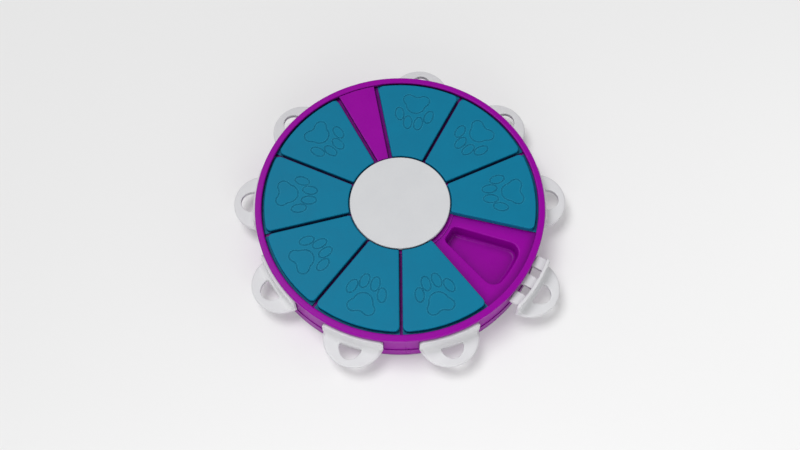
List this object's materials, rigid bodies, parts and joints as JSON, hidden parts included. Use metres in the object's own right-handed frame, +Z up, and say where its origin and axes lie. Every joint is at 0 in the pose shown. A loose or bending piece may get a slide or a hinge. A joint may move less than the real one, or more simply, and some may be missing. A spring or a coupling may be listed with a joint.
{
  "type": "dog puzzle feeder toy",
  "caption": "Round treat puzzle: lids slide round a track over drafted pockets, and pull-out handles plug into slots in the side wall.",
  "frame": {"origin": "on the central axis, at the plane that the rubber feet stand on", "axes": "+Z up along the central axis; +Y towards the middle of the raised block between the first and the last compartment"},
  "size_m": [0.2986, 0.2913, 0.043],
  "materials": {
    "purple_plastic": "satin-gloss injection moulding",
    "white_plastic": "fine matt injection moulding",
    "teal_plastic": "satin injection moulding",
    "screw_steel": "zinc plated",
    "foot_rubber": "soft matt"
  },
  "bodies": {
    "base": {"base_tray": "purple_plastic", "bottom_pan": "purple_plastic", "rim_ring": "purple_plastic", "centre_disc": "white_plastic", "pan_screws": "screw_steel", "disc_screws": "screw_steel", "rubber_feet": "foot_rubber"},
    "lid_1": {"lid_1": "teal_plastic"},
    "lid_2": {"lid_2": "teal_plastic"},
    "lid_3": {"lid_3": "teal_plastic"},
    "lid_4": {"lid_4": "teal_plastic"},
    "lid_5": {"lid_5": "teal_plastic"},
    "lid_6": {"lid_6": "teal_plastic"},
    "lid_7": {"lid_7": "teal_plastic"},
    "lid_8": {"lid_8": "teal_plastic"},
    "handle_1": {"handle_1": "white_plastic"},
    "handle_2": {"handle_2": "white_plastic"},
    "handle_3": {"handle_3": "white_plastic"},
    "handle_4": {"handle_4": "white_plastic"},
    "handle_5": {"handle_5": "white_plastic"},
    "handle_6": {"handle_6": "white_plastic"},
    "handle_7": {"handle_7": "white_plastic"},
    "handle_8": {"handle_8": "white_plastic"},
    "handle_9": {"handle_9": "white_plastic"}
  },
  "joints": [
    {"name": "lid_1_slide_round", "type": "hinge", "parent": "base", "child": "lid_1", "pos_m": [0, 0, 0], "axis": [0, 0, 1], "range_deg": [-0.85, 0.85]},
    {"name": "lid_2_slide_round", "type": "hinge", "parent": "base", "child": "lid_2", "pos_m": [0, 0, 0], "axis": [0, 0, 1], "range_deg": [-0.85, 0.85]},
    {"name": "lid_3_slide_round", "type": "hinge", "parent": "base", "child": "lid_3", "pos_m": [0, 0, 0], "axis": [0, 0, 1], "range_deg": [-0.85, 0.85]},
    {"name": "lid_4_slide_round", "type": "hinge", "parent": "base", "child": "lid_4", "pos_m": [0, 0, 0], "axis": [0, 0, 1], "range_deg": [-0.85, 0.85]},
    {"name": "lid_5_slide_round", "type": "hinge", "parent": "base", "child": "lid_5", "pos_m": [0, 0, 0], "axis": [0, 0, 1], "range_deg": [-0.85, 38]},
    {"name": "lid_6_slide_round", "type": "hinge", "parent": "base", "child": "lid_6", "pos_m": [0, 0, 0], "axis": [0, 0, 1], "range_deg": [-38, 0.85]},
    {"name": "lid_7_slide_round", "type": "hinge", "parent": "base", "child": "lid_7", "pos_m": [0, 0, 0], "axis": [0, 0, 1], "range_deg": [-0.85, 0.85]},
    {"name": "lid_8_slide_round", "type": "hinge", "parent": "base", "child": "lid_8", "pos_m": [0, 0, 0], "axis": [0, 0, 1], "range_deg": [-0.85, 0.85]},
    {"name": "handle_1_pull", "type": "slide", "parent": "base", "child": "handle_1", "axis": [-0.4695, 0.8829, 0], "range_m": [0, 0.0105]},
    {"name": "handle_2_pull", "type": "slide", "parent": "base", "child": "handle_2", "axis": [-0.9135, 0.4067, 0], "range_m": [0, 0.0105]},
    {"name": "handle_3_pull", "type": "slide", "parent": "base", "child": "handle_3", "axis": [-0.9703, -0.2419, 0], "range_m": [0, 0.0105]},
    {"name": "handle_4_pull", "type": "slide", "parent": "base", "child": "handle_4", "axis": [-0.6157, -0.788, 0], "range_m": [0, 0.0105]},
    {"name": "handle_5_pull", "type": "slide", "parent": "base", "child": "handle_5", "axis": [0, -1, 0], "range_m": [0, 0.0105]},
    {"name": "handle_6_pull", "type": "slide", "parent": "base", "child": "handle_6", "axis": [0.6157, -0.788, 0], "range_m": [-0.0105, 0]},
    {"name": "handle_7_pull", "type": "slide", "parent": "base", "child": "handle_7", "axis": [0.9703, -0.2419, 0], "range_m": [0, 0.0105]},
    {"name": "handle_8_pull", "type": "slide", "parent": "base", "child": "handle_8", "axis": [0.9135, 0.4067, 0], "range_m": [0, 0.0105]},
    {"name": "handle_9_pull", "type": "slide", "parent": "base", "child": "handle_9", "axis": [0.4695, 0.8829, 0], "range_m": [0, 0.0105]}
  ]
}
